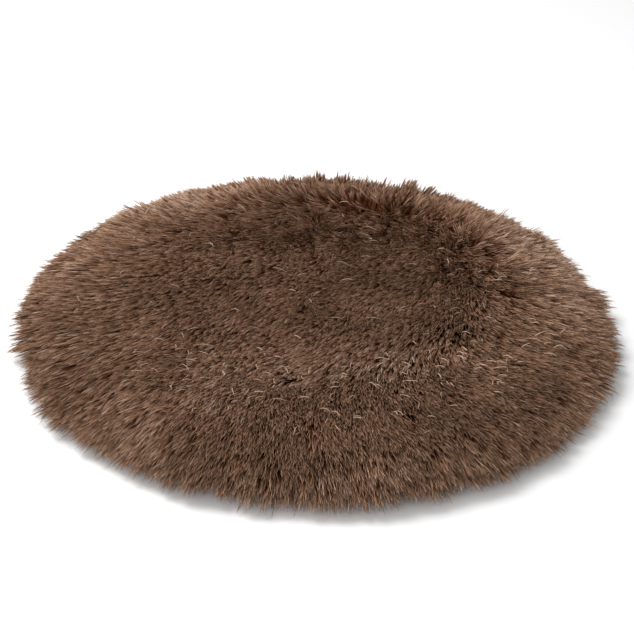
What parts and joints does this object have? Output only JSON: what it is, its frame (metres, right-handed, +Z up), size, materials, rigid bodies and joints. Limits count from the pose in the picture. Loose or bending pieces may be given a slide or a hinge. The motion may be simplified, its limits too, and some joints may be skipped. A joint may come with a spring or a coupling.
{
  "type": "pet cushion bed",
  "caption": "Round low cushion bed for a pet: long-pile faux-fur cover with a zipped non-slip base over a removable fibre-filled pad.",
  "frame": {"origin": "on the floor under the middle of the cushion", "axes": "+Z up, the shortest side; the zip in the base runs along X behind the middle, so +Y is the rear"},
  "size_m": [0.596, 0.596, 0.1],
  "materials": {
    "pile": "long-pile acrylic faux fur in mixed browns, soft sheen, darker at the roots",
    "backing": "knitted polyester, matt",
    "base_cloth": "woven polyester, matt",
    "dark_thread": "spun polyester thread",
    "label": "woven satin ribbon, blank",
    "grip": "printed PVC dots, satin",
    "zip_tape": "woven polyester tape",
    "zip_coil": "nylon monofilament, satin",
    "zip_metal": "die-cast zinc, antique bronze paint",
    "liner": "non-woven polypropylene, matt",
    "light_thread": "spun polyester thread",
    "fibre": "loose polyester fibre, matt"
  },
  "bodies": {
    "cushion": {"fur_pile": "pile", "fur_backing": "backing", "base_panel_front": "base_cloth", "base_panel_rear": "base_cloth", "edge_seam_thread": "dark_thread", "care_label": "label", "grip_dots": "grip", "zip_stitching": "dark_thread", "bar_tacks": "dark_thread", "zip_tape_front": "zip_tape", "zip_tape_rear": "zip_tape", "zip_coil_front": "zip_coil", "zip_coil_rear": "zip_coil", "zip_top_stops": "zip_metal", "zip_bottom_stop": "zip_metal", "liner_top": "liner", "liner_bottom": "liner", "liner_seam_thread": "light_thread", "fibre_fill": "fibre"},
    "slider": {"zip_slider": "zip_metal"},
    "pull": {"zip_pull": "zip_metal"}
  },
  "joints": [
    {"name": "slider_travel", "type": "slide", "parent": "cushion", "child": "slider", "axis": [-1, 0, 0], "range_m": [0, 0.3356]},
    {"name": "pull_swing", "type": "hinge", "parent": "slider", "child": "pull", "pos_m": [0.1678, 0.06, 0.00385], "axis": [0, -1, 0], "range_deg": [0, 180]}
  ]
}
